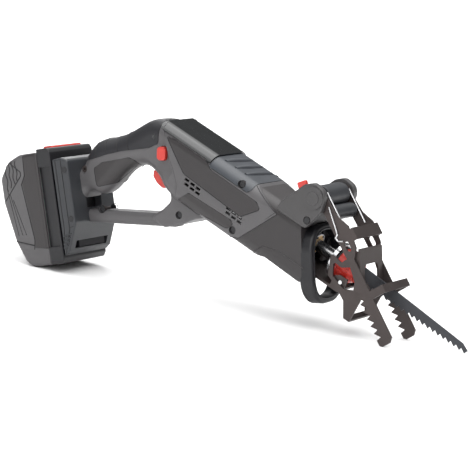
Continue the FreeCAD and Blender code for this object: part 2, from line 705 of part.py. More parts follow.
# The collar: a barrel with flats to grip, open in front for the blade.
collar_core = cylinder("collar_core", "collar_radius", "collar_length", Vector(COLLAR_START, 0, 0), X_AXIS)
collar_nose = cone("collar_nose", "collar_radius + 3", "collar_radius - 4", "10",
                   Vector(CLAMP_END - 9, 0, 0), X_AXIS)
collar_long = cylinder("collar_long", "collar_radius", "collar_length - 8", Vector(COLLAR_START, 0, 0),
                       X_AXIS)
collar_shape = fuse("collar_shape", collar_long, common("collar_front", collar_core, collar_nose))
collar_bore = cylinder("collar_bore", "plunger_diameter / 2 + 0.2", "collar_length + 2",
                       Vector(COLLAR_START - 1, 0, 0), X_AXIS)
flats = [box(f"collar_flat_{number}", ("14", "6", "8"), Vector(3, -3, size("collar_radius") - 1.4),
             Placement(Vector(COLLAR_START, 0, 0),
                       Rotation(X_AXIS, number * 60 + 30))) for number in range(6)]
keep(cut("clamp_collar", collar_shape, collar_bore, *flats))
keep(cylinder("clamp_pin", "1.5", "plunger_diameter - 0.4",
              Vector(COLLAR_START + 9, 0.2 - size("plunger_diameter") / 2, 0), Y_AXIS))


# Blade: straight back that drops towards the tip, saw teeth below.
BLADE_LOW = -size("blade_root") / 2 + 0.5
BLADE_START = COLLAR_START + 6
BLADE_END = BLADE_START + 12 + size("blade_length")


def tooth_row(start, end, count, depth, lead=0.0):
    """Saw teeth between two points of an outline; each leans towards the end by `lead` of its pitch."""
    along = Vector(end[0] - start[0], end[1] - start[1], 0) / count
    across = Vector(along.y, -along.x, 0).normalize() * depth
    points = []
    for number in range(count):
        root = Vector(start[0], start[1], 0) + along * number
        tip = root + along * (0.5 + lead) + across
        points += [(root.x, root.y), (tip.x, tip.y)]
    return points + [end]


TEETH_START = CLAMP_END + 14
blade_outline = [(BLADE_START, 4), (BLADE_START, -4), (CLAMP_END - 4, -4),
                 (CLAMP_END + 1, BLADE_LOW + size("tooth_depth"))]
blade_outline += tooth_row((TEETH_START, BLADE_LOW + size("tooth_depth")),
                           (BLADE_END - 1, BLADE_LOW + size("tooth_depth")),
                           int(size("blade_teeth")), size("tooth_depth"), 0.3)
blade_outline += [(BLADE_END, BLADE_LOW + size("tooth_depth") + 0.6),
                  (BLADE_END - 8, BLADE_LOW + size("blade_tip")),
                  (CLAMP_END + 62, BLADE_LOW + size("blade_root") - 3.5), (CLAMP_END + 4,
                                                                           BLADE_LOW + size("blade_root")),
                  (CLAMP_END - 1.5, 4)]
blade_body = plate("blade_body", blade_outline, "blade_thickness", 0)
blade_pin_hole = cylinder("blade_pin_hole", "1.5", "20", Vector(COLLAR_START + 9, -10, 0), Y_AXIS)
keep(cut("blade", blade_body, blade_pin_hole))

# Gear case: a box over the crank, a boss for its bearing and a tube for the plunger's bushes.
CASE_REAR = FRONT_BEARING_X
CASE_FRONT = CRANK_X + GEAR_RADIUS + 4
CASE_LOW = GEAR_TOP - GEAR_THICK - 5.5
CASE_TOP = 12
CASE_HALF = GEAR_RADIUS + 4
case_box = box("case_box", (f"{CASE_FRONT - CASE_REAR}", f"{2 * CASE_HALF}", f"{CASE_TOP - CASE_LOW}"),
               Vector(CASE_REAR, -CASE_HALF, CASE_LOW))
case_boss = cylinder("case_boss", "11.5", f"{CASE_LOW - CRANK_FOOT + 2.4}",
                     Vector(CRANK_X, 0, CRANK_FOOT - 1.4))
case_tube = cylinder("case_tube", "11.5", f"{FRONT_BUSH_X + BUSH_LENGTH - CASE_FRONT + 1}",
                     Vector(CASE_FRONT - 1, 0, 0), X_AXIS)
case_room = box("case_room", (f"{CASE_FRONT - CASE_REAR - 8}", f"{2 * CASE_HALF - 5}",
                              f"{CASE_TOP - CASE_LOW - 5}"),
                Vector(CASE_REAR + 5.5, 2.5 - CASE_HALF, CASE_LOW + 2.5))
case_bearing = cylinder("case_bearing", "7.95", f"{BEARING_THICK}", on_motor(FRONT_BEARING_X), X_AXIS)
case_shaft = cylinder("case_shaft", "4", "20", on_motor(FRONT_BEARING_X - 1), X_AXIS)
case_crank = cylinder("case_crank", "9.5", "20", Vector(CRANK_X, 0, CRANK_FOOT))
case_rod = cylinder("case_rod", "7.5", "80", Vector(CRANK_X, 0, 0), X_AXIS)
case_front_bush = cylinder("case_front_bush", "10", "30", Vector(FRONT_BUSH_X, 0, 0), X_AXIS)
case_rear_bush = cylinder("case_rear_bush", "10", f"{BUSH_LENGTH}", Vector(REAR_BUSH_X, 0, 0), X_AXIS)
keep(cut("gear_case", fuse("case_solid", case_box, case_boss, case_tube), case_room, case_bearing,
         case_shaft, case_crank,
         case_rod, case_front_bush, case_rear_bush))


# ---------------------------------------------------------------- controls

GRIP_MIDDLE = Vector(-153, 0, -37.5)
GRIP_PLACE = Placement(GRIP_MIDDLE, Rotation(Y_AXIS, -size("grip_angle")))


keep(plate("trigger", TRIGGER, "trigger_width", [3, 5, 5, 3, 1, 1, 1], "1.5"))
SWITCH_LOW = -16
keep(box("switch_body", ("22", "20", "22"), Vector(30, -10, SWITCH_LOW), GRIP_PLACE))
TRIGGER_BACK = Vector(-102.5, 0, -25.5)


def spring(label, coil_radius, wire, turns, length, place):
    """A coil spring along Z of its place."""
    helix = doc.addObject("Part::Helix", f"{label}_line")
    helix.Pitch = length / turns
    helix.Height = length
    helix.Radius = coil_radius
    ring = doc.addObject("Part::Circle", f"{label}_wire")
    ring.Radius = wire / 2
    ring.Placement = Placement(Vector(coil_radius, 0, 0), Rotation(Z_AXIS, Y_AXIS))
    sweep = doc.addObject("Part::Sweep", label)
    sweep.Sections = [ring]
    sweep.Spine = (helix, [])
    sweep.Solid = True
    sweep.Frenet = True
    sweep.Placement = place
    return sweep


TRIGGER_SPRING_LENGTH = 10
keep(spring("trigger_spring", 2.6, 0.8, 5, TRIGGER_SPRING_LENGTH,
            Placement(TRIGGER_BACK + PULL * 1.6, turned(PULL))))
keep(plate("lock_off_button", rectangle(10.6, 13.6), "62", 3.6, "1.2",
           Placement(LOCK_OFF, Rotation(Y_AXIS, -25))))
keep(box("speed_controller", ("44", "24", "3"), Vector(-34, -12, 4), GRIP_PLACE))

# ---------------------------------------------------------------- battery pack

PACK_TOP = 0.7
BASE_DEPTH = 18.0
PACK_START = -13.0
PACK_END = PACK_START + size("pack_length")
PACK_HALF = size("pack_width") / 2
OUT = size("pack_depth")
COVER = [(PACK_START + 3, BASE_DEPTH), (PACK_START + 3, 42), (PACK_START + 9, 58), (12, OUT), (38, OUT),
         (80, OUT - 9),
         (PACK_END - 6, OUT - 19), (PACK_END, OUT - 27), (PACK_END, BASE_DEPTH)]
COVER_CORNERS = [1, 12, 14, 10, 30, 20, 8, 6, 1]
BASE = [(PACK_START, 3), (PACK_START, BASE_DEPTH), (PACK_END, BASE_DEPTH), (PACK_END, 4),
        (PACK_END - 5, PACK_TOP),
        (PACK_START + 5, PACK_TOP)]


def cover_block(grow=0.0):
    def make(label):
        return plate(label, inset(COVER, -grow), f"pack_width + {2 * grow}", COVER_CORNERS,
                     f"4 + {grow / 2}", PACK_PLACE)
    return once("cover", grow, make)


def pack_box(label, start, end, low, high, half):
    """A box in the battery frame, equal to both sides."""
    return plate(label, rectangle(end - start, high - low, ((start + end) / 2, (low + high) / 2)),
                 f"{2 * half}", 0,
                 None, PACK_PLACE)


base_solid = plate("base_solid", BASE, "pack_width", [4, 1, 1, 3, 3, 3], "1.2", PACK_PLACE)
recess_depth = 4.0
recess_right = box("recess_right", ("84", "8", f"{BASE_DEPTH - 3}"),
                   Vector(6, -PACK_HALF - 8 + recess_depth, 3), PACK_PLACE)
recess_left = box("recess_left", ("84", "8", f"{BASE_DEPTH - 3}"), Vector(6, PACK_HALF - recess_depth, 3),
                  PACK_PLACE)
base_hollow = pack_box("base_hollow", PACK_START + 13, PACK_END - 3, PACK_TOP + 3, 30,
                       PACK_HALF - recess_depth - 2.5)
base_rail = rail("base_rail", 0, 0, RAIL_END)
rail_hollow = pack_box("rail_hollow", 6, 60, -6, 10, 20)
BUTTON_HALF = 26
button_way = pack_box("button_way", PACK_START - 5, PACK_START + 8.5, 5, 17.5, BUTTON_HALF + 0.5)
spring_pocket = pack_box("spring_pocket", PACK_START + 5, PACK_START + 11.5, 6.5, 15.5, 4.5)
contact_slots = [pack_box(f"contact_slot_{number}", 64, RAIL_END + 4, -9, -2, 1.3) for number in range(4)]
for number, slot in enumerate(contact_slots):
    slot.Placement = Placement(Y_AXIS * (12 * number - 18), Rotation()).multiply(PACK_PLACE)
keep(cut("pack_base", fuse("base_with_rail", base_solid, base_rail), recess_right, recess_left,
         base_hollow, rail_hollow,
         button_way, spring_pocket, *contact_slots))
keep(cut("pack_cover", cover_block(), cover_block(-size("pack_wall")),
         pack_box("cover_mouth", PACK_START + 6, PACK_END - 3, 10, 24, PACK_HALF - 3)))
STRIP = [(-9, 18.5), (-9, 35), (12, 36), (20, 41), (80, 34), (88, 36), (91, 18.5)]
keep(skin("pack_label_strips", cover_block, [flat(on_pack(*point)) for point in STRIP], 0.6, -0.05, 1.0))
cells = []
for level in range(2):
    for number in range(5):
        start = on_pack(6.5 + 18.6 * number, 28.6 + 18.6 * level, -size("cell_length") / 2)
        cells.append(cylinder(f"cell_{level}_{number}", "cell_radius", "cell_length", start, Y_AXIS))
keep(fuse("battery_cells", *cells))
keep(pack_box("pack_board", 8, 90, 12, 13.6, 27))
contacts = []
for number in range(4):
    across = 12 * number - 18
    contacts.append(box(f"contact_{number}", ("20", "0.8", "5"), Vector(RAIL_END - 18, across - 0.4, -8),
                        PACK_PLACE))
block_body = pack_box("block_body", RAIL_END + 1, RAIL_END + 9, -10, -2.2, 22)
keep(fuse("terminal_block", block_body, *contacts))
keep(plate("release_button", rectangle(7, 11, (PACK_START + 1.5, 11)), f"{2 * BUTTON_HALF}", 2, "1",
           PACK_PLACE))
keep(spring("release_spring", 3.0, 0.8, 3, 5, Placement(on_pack(PACK_START + 5.4, 11), turned(SLIDE))))

# ---------------------------------------------------------------- branch holder

PIVOT = Vector(size("pivot_x"), 0, size("pivot_z"))
EAR_OUT = HALF
EAR_IN = HALF - size("ear_thickness")
ARM_OUT = EAR_IN - size("arm_gap")
ARM_IN = ARM_OUT - size("arm_thickness")
ARM_PLACE = Placement(PIVOT, Rotation(Y_AXIS, size("arm_angle")))
REACH = size("arm_length")


def shifted(across, place=Placement()):
    return Placement(Y_AXIS * across, Rotation()).multiply(place)


ear_round = size("ear_radius")
EAR = [(PIVOT.x - 31, TOP - 6), (PIVOT.x - 30, TOP + 2), (PIVOT.x - ear_round - 1, PIVOT.z + 7),
       (PIVOT.x - 6, PIVOT.z + ear_round),
       (PIVOT.x + ear_round - 4, PIVOT.z + ear_round - 2), (PIVOT.x + ear_round,
                                                            PIVOT.z - 8), (nose_x(TOP) - 3, TOP - 7)]
base_plate = plate("base_plate", [(PIVOT.x - 31, TOP - 8), (PIVOT.x - 30, TOP + 2),
                                  (PIVOT.x - 16, TOP + 9),
                                  (nose_x(TOP) - 8, TOP + 5), (nose_x(TOP) - 3,
                                                               TOP - 8)], "body_width", 3, "2.5")
ears = [plate(f"ear_{side}", EAR, "ear_thickness", [2, 3, 10, 8, 10, 6, 3], "1.2",
              shifted(side * (EAR_OUT + EAR_IN) / 2))
        for side in (-1, 1)]
caps = [cylinder(f"ear_cap_{side}", "ear_radius - 2.5", "1.5", Vector(PIVOT.x, side * EAR_OUT, PIVOT.z),
                 Y_AXIS * side)
        for side in (-1, 1)]
pin_bore = cylinder("pin_bore", "pivot_diameter / 2 + bush_gap", f"{2 * EAR_OUT - 3}",
                    Vector(PIVOT.x, 1.5 - EAR_OUT, PIVOT.z), Y_AXIS)
LOCK_SLOPE = Rotation(Y_AXIS, -48)
LOCK_PLACE = Placement(Vector(PIVOT.x - 17.5, -(EAR_OUT + EAR_IN) / 2, PIVOT.z + 4.5), LOCK_SLOPE)
lock_way = box("lock_way", ("11", "5", "14"), Vector(-5.5, -2.5, -8), LOCK_PLACE)
bracket_wells = [cylinder(f"bracket_well_{side}", "screw_head_radius + 0.3", "5",
                          Vector(PIVOT.x + 4, side * (EAR_OUT + 1), TOP + 1),
                          Y_AXIS * -side) for side in (-1, 1)]
front_room = front_block(0.1)
boot_room = nose_ring("boot_room", 0.2, "nose_depth + 4", 2 - size("nose_depth") / 2, 26)
keep(cut("holder_bracket", fuse("bracket_solid", base_plate, *ears, *caps), pin_bore, lock_way, front_room,
         boot_room,
         *bracket_wells))
screw_heads += [cylinder(f"bracket_screw_{side}", "screw_head_radius", "3",
                         Vector(PIVOT.x + 4, side * (EAR_OUT - 3.9), TOP + 1),
                         Y_AXIS * side) for side in (-1, 1)]
keep(fuse("housing_screws", *screw_heads))
keep(plate("lock_button", rectangle(10, 8, (0, -0.5)), "4.2", 1.5, "0.6", LOCK_PLACE))
keep(cylinder("pivot_pin", "pivot_diameter / 2", f"{2 * EAR_OUT - 4}",
              Vector(PIVOT.x, 2 - EAR_OUT, PIVOT.z), Y_AXIS))
keep(tube("holder_hub", "hub_radius", "pivot_diameter / 2 + bush_gap", f"{2 * ARM_IN}",
          Vector(PIVOT.x, -ARM_IN, PIVOT.z), Y_AXIS))

ARM_FRONT = 7.2
ROOT = -3.0
TEETH = int(size("arm_teeth"))
TEETH_AT = REACH - 9 - TEETH * size("arm_tooth_pitch")
ARM = [(-4, -9.5), (8, -9.5), (14, -1.2), (70, 0.2), (TEETH_AT - 5, ROOT)]
ARM += tooth_row((TEETH_AT, ROOT), (REACH - 9, ROOT), TEETH, 5.5, -0.3)[1:]
ARM += [(REACH - 8, -8.5), (REACH - 2, -8.5), (REACH, -6), (REACH, 3), (REACH - 4, ARM_FRONT)]
ARM += [(70, ARM_FRONT), (61, 14.5), (39, 17), (26, 11), (8, 9.5), (-4, 9.5), (-9.5, 0)]
CROSS_RISE = 18.5
UPPER = (42.0, 54.0, CROSS_RISE)
LOWER = (103.5, 111.5, CROSS_RISE + 2.5)
arm_eye = cylinder("arm_eye", "hub_radius", "100", Vector(PIVOT.x, -50, PIVOT.z), Y_AXIS)
arm_hole = plate("arm_hole", rectangle(10, 5, (56, 7)), "100", 2.4, None, ARM_PLACE)
for name, side, _ in SIDES:
    middle = side * (ARM_IN + ARM_OUT) / 2
    arm_plate = plate(f"{name}_arm_plate", ARM, "arm_thickness", 0.3, None, shifted(middle, ARM_PLACE))
    flanges = [plate(f"{name}_tab_{number}", [(start, 4), (start, rise), (end, rise), (end, 4)],
                     "arm_thickness", 0,
                     None, shifted(middle, ARM_PLACE)) for number, (start, end,
                                                                    rise) in enumerate((UPPER, LOWER))]
    arm_bore = cylinder(f"{name}_arm_bore", "pivot_diameter / 2 + bush_gap", "100",
                        Vector(PIVOT.x, -50, PIVOT.z), Y_AXIS)
    keep(cut(f"{name}_arm", fuse(f"{name}_arm_solid", arm_plate, *flanges), arm_hole, arm_bore))
cross_plates = []
for number, (start, end, rise) in enumerate((UPPER, LOWER)):
    section = rectangle(end - start, size("arm_thickness"),
                        ((start + end) / 2, rise + size("arm_thickness") / 2))
    cross_plates.append(plate(f"cross_plate_{number}", section, f"{2 * ARM_OUT}", 0, None, ARM_PLACE))
keep(fuse("cross_plates", *cross_plates))
keep(cylinder("stop_bar", "4.5", f"{2 * ARM_IN}", ARM_PLACE.multVec(Vector(20, -ARM_IN, 3)), Y_AXIS))

# Torsion spring: three turns round the hub at each side, each a closed ring, and a leg along each arm.
SPRING_WIRE = 1.8
COIL_RADIUS = size("hub_radius") + 1.6
coils = []
for name, side, _ in SIDES:
    for turn_number in range(3):
        ring = doc.addObject("Part::Torus", f"{name}_coil_{turn_number}")
        bind(ring, "Radius1", "hub_radius + 1.6")
        ring.Radius2 = SPRING_WIRE / 2
        across = side * (ARM_IN - 5 - 2.2 * turn_number)
        ring.Placement = Placement(Vector(PIVOT.x, across, PIVOT.z), turned(Y_AXIS))
        coils.append(ring)
    leg_start = ARM_PLACE.multVec(Vector(0, side * (ARM_IN - 2.4), COIL_RADIUS))
    coils.append(cylinder(f"{name}_leg", f"{SPRING_WIRE / 2}", "37", leg_start,
                          ARM_PLACE.Rotation.multVec(X_AXIS)))
keep(fuse("holder_spring", *coils))

# ---------------------------------------------------------------- shoe

SHOE_PIVOT = Vector(size("shoe_pivot_x"), 0, -size("shoe_pivot_drop"))
SHEET = size("shoe_sheet")
SHOE_OUT = size("shoe_width") / 2
SHOE_TOP_X = 146.0


def on_shoe(up, out=0.0):
    """A point of the shoe's front face, measured up from the plunger's axis along the face."""
    return (SHOE_TOP_X - NOSE_SLOPE * up * math.cos(LEAN) + 8 + out, up * math.cos(LEAN))


LOOP_LOW = -39.0
LOOP_FRONT = 160.0
side_plate = [(112, 10), (126, 7), on_shoe(33), on_shoe(-14), (LOOP_FRONT, LOOP_LOW)]
side_plate += [(LOOP_FRONT - 7, LOOP_LOW), (145, -24), (131, -16), (119, -11)]
window = [(118, 4), (128, 3), (145, 14), (153, -8), (140, -14), (124, -9)]
shoe_side = plate("shoe_side", side_plate, "shoe_width", 2)
shoe_room = plate("shoe_room", rectangle(120, 120, (140, 0)), "shoe_width - 2 * shoe_sheet", 0)
shoe_window = plate("shoe_window", window, "100", 2)
front_face = [on_shoe(33, -SHEET), on_shoe(33), on_shoe(-14), on_shoe(-14, -SHEET)]
shoe_front = plate("shoe_front", front_face, "shoe_width", 0)
front_window_place = Placement(Vector(*[on_shoe(0)[0], 0, 0]), NOSE_TURN)
front_window = plate("front_window", rectangle(size("shoe_width") - 18, 36, (0, 0)), "30", 5, None,
                     front_window_place, "YZ_Plane")
loop = box("shoe_loop", ("7", "shoe_width", "shoe_sheet"), Vector(LOOP_FRONT - 7, -SHOE_OUT, LOOP_LOW))
shoe_bore = cylinder("shoe_bore", "shoe_pin_diameter / 2 + bush_gap", "100", SHOE_PIVOT - Y_AXIS * 50,
                     Y_AXIS)
shoe_u = cut("shoe_u", cut("shoe_sides", shoe_side, shoe_room), shoe_window)
keep(cut("shoe", fuse("shoe_solid", shoe_u, cut("shoe_face", shoe_front, front_window), loop), shoe_bore))
CARRIER_TOP = -size("ring_radius") - 1.0
CARRIER_HALF = SHOE_OUT - SHEET - 0.5
carrier_plate = box("carrier_plate", ("52", f"{2 * CARRIER_HALF}", "2.5"),
                    Vector(82, -CARRIER_HALF, CARRIER_TOP - 2.5))
lug = [(124, CARRIER_TOP - 2.5), (124, -9), (129, -5), (139, -5), (139, -14), (134, CARRIER_TOP - 2.5)]
lugs = [plate(f"lug_{side}", lug, "1.9", 1, None, shifted(side * (CARRIER_HALF - 0.95))) for side in (-1,
                                                                                                      1)]
lug_bore = cylinder("lug_bore", "shoe_pin_diameter / 2", "100", SHOE_PIVOT - Y_AXIS * 50, Y_AXIS)
keep(cut("shoe_carrier", fuse("carrier_solid", carrier_plate, *lugs), lug_bore))
shoe_pins = [cylinder(f"shoe_pin_{side}", "shoe_pin_diameter / 2", "4.8",
                      SHOE_PIVOT + Y_AXIS * side * (CARRIER_HALF - 1.9), Y_AXIS * side) for side in (-1,
                                                                                                     1)]
keep(fuse("shoe_pins", *shoe_pins))


# ---------------------------------------------------------------- rest pose and files

def lowest(obj, pitch):
    """The lowest height of a piece when the saw is tipped nose down by a pitch in degrees."""
    shape = obj.Shape.copy()
    shape.rotate(Vector(), Y_AXIS, pitch)
    return shape.optimalBoundingBox(False, False).ZMin


def rest_pitch(rear, front):
    """The pitch at which two pieces stand on one level, found by the secant rule."""
    low, high = 15.0, 25.0
    gap_low = lowest(rear, low) - lowest(front, low)
    for _ in range(6):
        gap_high = lowest(rear, high) - lowest(front, high)
        if abs(gap_high) < 1e-4:
            break
        low, high, gap_low = high, high - gap_high * (high - low) / (gap_high - gap_low), gap_high
    return high


def failed(obj):
    return {"Invalid", "Error"} & set(obj.State)


doc.recompute()
by_label = {obj.Label: obj for obj in parts}
turn = Placement(Vector(), Rotation(Y_AXIS, rest_pitch(by_label["pack_cover"], by_label["right_arm"])))
whole = Part.Compound([obj.Shape for obj in parts])
whole.Placement = turn
limits = whole.optimalBoundingBox(False, False)
shift = Placement(Vector(-limits.Center.x, -limits.Center.y, -limits.ZMin), Rotation())
TOOL_PLACE = shift.multiply(turn)
for obj in parts:
    obj.Placement = TOOL_PLACE.multiply(obj.Placement)
doc.recompute()

broken = [obj.Label for obj in doc.Objects if failed(obj)]
broken += [obj.Label for obj in parts if obj.Shape.isNull() or not obj.Shape.isValid()]
if broken:
    raise RuntimeError(f"these failed: {', '.join(broken)}")
os.makedirs("parts", exist_ok=True)
for obj in parts:
    obj.Shape.exportStep(f"parts/{obj.Label}.step")
print(f"{len(parts)} sub-parts, {limits.XLength:.0f} x {limits.YLength:.0f} x {limits.ZLength:.0f} mm")
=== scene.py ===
import json
import math
import bpy
from mathutils import Matrix, Vector
from mathutils.bvhtree import BVHTree


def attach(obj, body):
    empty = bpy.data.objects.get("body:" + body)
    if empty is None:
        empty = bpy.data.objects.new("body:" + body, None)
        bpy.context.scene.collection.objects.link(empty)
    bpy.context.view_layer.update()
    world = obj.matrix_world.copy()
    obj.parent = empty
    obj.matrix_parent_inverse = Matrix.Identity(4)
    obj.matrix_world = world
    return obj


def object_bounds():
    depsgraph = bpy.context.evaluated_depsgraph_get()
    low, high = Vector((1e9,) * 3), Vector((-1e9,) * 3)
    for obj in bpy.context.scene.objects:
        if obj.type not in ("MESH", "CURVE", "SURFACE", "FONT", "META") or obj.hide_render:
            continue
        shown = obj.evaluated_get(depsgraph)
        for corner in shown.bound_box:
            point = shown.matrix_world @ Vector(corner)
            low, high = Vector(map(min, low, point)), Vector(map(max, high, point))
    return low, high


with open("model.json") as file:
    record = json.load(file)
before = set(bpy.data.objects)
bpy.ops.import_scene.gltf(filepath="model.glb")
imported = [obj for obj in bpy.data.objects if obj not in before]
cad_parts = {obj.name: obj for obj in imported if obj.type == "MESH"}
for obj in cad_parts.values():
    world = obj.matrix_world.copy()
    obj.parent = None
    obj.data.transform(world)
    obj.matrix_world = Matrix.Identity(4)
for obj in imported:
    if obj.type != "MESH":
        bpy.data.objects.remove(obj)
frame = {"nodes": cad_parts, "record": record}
start_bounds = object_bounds()
NODES = frame["nodes"]

# The saw is described in its tool frame, in millimetres: X along the plunger, Z up, Y to the left.
# TOOL carries that frame into the row frame, in metres: nose down by PITCH, then moved.
PITCH = math.radians(21.067)
TOOL_X = 16.87
TOOL_Z = 109.371
TOOL = (Matrix.Scale(0.001, 4) @ Matrix.Translation((TOOL_X, 0, TOOL_Z)) @ Matrix.Rotation(PITCH, 4, "Y"))


def at(x, y, z):
    """A point of the tool frame, in the row frame."""
    return TOOL @ Vector((x, y, z))


def tilted(x, z, angle):
    """A frame in the tool's side plane: its X is turned nose down by an angle in degrees."""
    return TOOL @ Matrix.Translation((x, 0, z)) @ Matrix.Rotation(math.radians(angle), 4, "Y")


ARM = tilted(75, 50, 32.5)
NOSE = tilted(104.5, -9.5, -30)
PACK_ANGLE = math.radians(53)


def on_pack(along, out):
    """A point of the battery frame as (x, z) in the tool frame: along the slide, and out from the foot."""
    return (-210 + math.cos(PACK_ANGLE) * along - math.sin(PACK_ANGLE) * out,
            -74.5 - math.sin(PACK_ANGLE) * along - math.cos(PACK_ANGLE) * out)


# ---------------------------------------------------------------- materials

def material(name, colour, rough, metal=0.0, grain=0.0, grain_size=900.0, coat=0.0, blotch=0.08,
             wear=0.15):
    """A finish: colour and roughness vary a little from place to place, and grain dents the surface.

    blotch is how far the roughness strays, and wear is how far the colour does, as a share of it.
    """
    mat = bpy.data.materials.new(name)
    mat.use_nodes = True
    tree = mat.node_tree
    shader = tree.nodes["Principled BSDF"]
    shader.inputs["Base Color"].default_value = (*colour, 1)
    shader.inputs["Metallic"].default_value = metal
    shader.inputs["Roughness"].default_value = rough
    shader.inputs["Coat Weight"].default_value = coat
    shader.inputs["Coat Roughness"].default_value = 0.12
    place = tree.nodes.new("ShaderNodeTexCoord")
    cloud = tree.nodes.new("ShaderNodeTexNoise")
    cloud.inputs["Scale"].default_value = 60
    cloud.inputs["Detail"].default_value = 4
    tree.links.new(place.outputs["Object"], cloud.inputs["Vector"])
    tint = tree.nodes.new("ShaderNodeMix")
    tint.data_type = "RGBA"
    tint.inputs["A"].default_value = (*[c * (1 - wear) for c in colour], 1)
    tint.inputs["B"].default_value = (*[min(c * (1 + wear), 1) for c in colour], 1)
    tree.links.new(cloud.outputs["Fac"], tint.inputs["Factor"])
    tree.links.new(tint.outputs["Result"], shader.inputs["Base Color"])
    spread = tree.nodes.new("ShaderNodeMapRange")
    spread.inputs["To Min"].default_value = max(0.04, rough - blotch)
    spread.inputs["To Max"].default_value = rough + blotch
    tree.links.new(cloud.outputs["Fac"], spread.inputs["Value"])
    tree.links.new(spread.outputs["Result"], shader.inputs["Roughness"])
    if grain:
        noise = tree.nodes.new("ShaderNodeTexNoise")
        noise.inputs["Scale"].default_value = grain_size
        noise.inputs["Detail"].default_value = 2
        tree.links.new(place.outputs["Object"], noise.inputs["Vector"])
        bump = tree.nodes.new("ShaderNodeBump")
        bump.inputs["Strength"].default_value = grain
        bump.inputs["Distance"].default_value = 0.0002
        tree.links.new(noise.outputs["Fac"], bump.inputs["Height"])
        tree.links.new(bump.outputs["Normal"], shader.inputs["Normal"])
    return mat


FINISHES = {
    "grey_plastic": material("grey_plastic", (0.082, 0.079, 0.082), 0.46, grain=0.25),
    "dark_grey_plastic": material("dark_grey_plastic", (0.026, 0.023, 0.024), 0.44, grain=0.2),
    "charcoal_plastic": material("charcoal_plastic", (0.026, 0.028, 0.032), 0.44, grain=0.25),
    "bracket_grey": material("bracket_grey", (0.050, 0.048, 0.049), 0.46, grain=0.25),
    "black_gloss": material("black_gloss", (0.004, 0.005, 0.006), 0.14, coat=0.35, blotch=0.03),
    "black_plastic": material("black_plastic", (0.007, 0.007, 0.009), 0.42, grain=0.15),
    "red_plastic": material("red_plastic", (0.52, 0.028, 0.018), 0.34, coat=0.2),
    "overmold_rubber": material("overmold_rubber", (0.011, 0.011, 0.014), 0.55, grain=0.5),
    "boot_rubber": material("boot_rubber", (0.006, 0.006, 0.008), 0.48, grain=0.3),
    "pad_rubber": material("pad_rubber", (0.045, 0.050, 0.058), 0.38, grain=0.3),
    "blade_steel": material("blade_steel", (0.046, 0.048, 0.054), 0.46, metal=0.5, grain=0.2,
                            grain_size=300),
    "dark_steel": material("dark_steel", (0.060, 0.049, 0.047), 0.46, metal=0.55, grain=0.2, grain_size=400),
    "bright_steel": material("bright_steel", (0.60, 0.60, 0.61), 0.24, metal=1.0),
    "iron_core": material("iron_core", (0.22, 0.22, 0.23), 0.5, metal=1.0, grain=0.3),
    "copper": material("copper", (0.75, 0.40, 0.22), 0.3, metal=1.0),
    "carbon": material("carbon", (0.02, 0.02, 0.02), 0.6),
    "cast_alloy": material("cast_alloy", (0.50, 0.50, 0.51), 0.45, metal=1.0, grain=0.5, grain_size=300),
    "bronze": material("bronze", (0.55, 0.38, 0.20), 0.4, metal=1.0),
    "cell_wrap": material("cell_wrap", (0.04, 0.22, 0.14), 0.35),
    "board_green": material("board_green", (0.02, 0.13, 0.05), 0.4),
}
SEAM = material("seam_black", (0.006, 0.006, 0.007), 0.6)
for entry in frame["record"]["subparts"]:
    mesh = NODES[entry["node"]].data
    mesh.materials.clear()
    mesh.materials.append(FINISHES[entry["material_slot"]])


# ---------------------------------------------------------------- building blocks

def finish_piece(obj, finish, body):
    obj.data.materials.append(SEAM if finish == "seam" else FINISHES[finish])
    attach(obj, body)
    return obj


def solid(name, verts, faces, finish, body, bevel=0.0, smooth=True):
    """A mesh in the row frame, its edges rounded by a bevel in millimetres."""
    mesh = bpy.data.meshes.new(name)
    mesh.from_pydata(verts, [], faces)
    mesh.update()
    obj = bpy.data.objects.new(name, mesh)
    bpy.context.collection.objects.link(obj)
    if smooth:
        mesh.shade_smooth()
    if bevel:
        rounding = obj.modifiers.new("rounding", "BEVEL")
        rounding.width = bevel / 1000
        rounding.segments = 3
        rounding.limit_method = "ANGLE"
        rounding.harden_normals = True
    return finish_piece(obj, finish, body)


def wire(name, points, radius, finish, body, closed=False):
    """A round bar along points of the row frame; radius in millimetres."""
    curve = bpy.data.curves.new(name, "CURVE")
    curve.dimensions = "3D"
    curve.bevel_depth = radius / 1000
    curve.bevel_resolution = 3
    curve.use_fill_caps = True
    spline = curve.splines.new("POLY")
    spline.points.add(len(points) - 1)
    for vertex, point in zip(spline.points, points):
        vertex.co = (*point, 1)
    spline.use_cyclic_u = closed
    obj = bpy.data.objects.new(name, curve)
    bpy.context.collection.objects.link(obj)
    return finish_piece(obj, finish, body)


def disc(name, centre, axis, radius, length, finish, body, bevel=0.4, sides=40):
    """A round piece from a centre along an axis, in the row frame; sizes in millimetres."""
    axis = axis.normalized()
    across = axis.orthogonal().normalized()
    other = axis.cross(across)
    ring = [(math.cos(2 * math.pi * i / sides), math.sin(2 * math.pi * i / sides)) for i in range(sides)]
    verts = [centre + axis * (end / 1000) + (across * c + other * s) * (radius / 1000)
             for end in (0, length) for c, s in ring]
    walls = [(i, (i + 1) % sides, (i + 1) % sides + sides, i + sides) for i in range(sides)]
    ends = [tuple(range(sides))[::-1], tuple(range(sides, 2 * sides))]
    return solid(name, verts, ends + walls, finish, body, bevel)


def dense(points, step=2.0, closed=False):
    """Points added along a path so that none are further apart than a step."""
    path = list(points) + ([points[0]] if closed else [])
    filled = []
    for first, last in zip(path, path[1:]):
        count = max(1, round(math.dist(first, last) / step))
        filled += [tuple(a + (b - a) * i / count for a, b in zip(first, last)) for i in range(count)]
    return filled if closed else filled + [path[-1]]


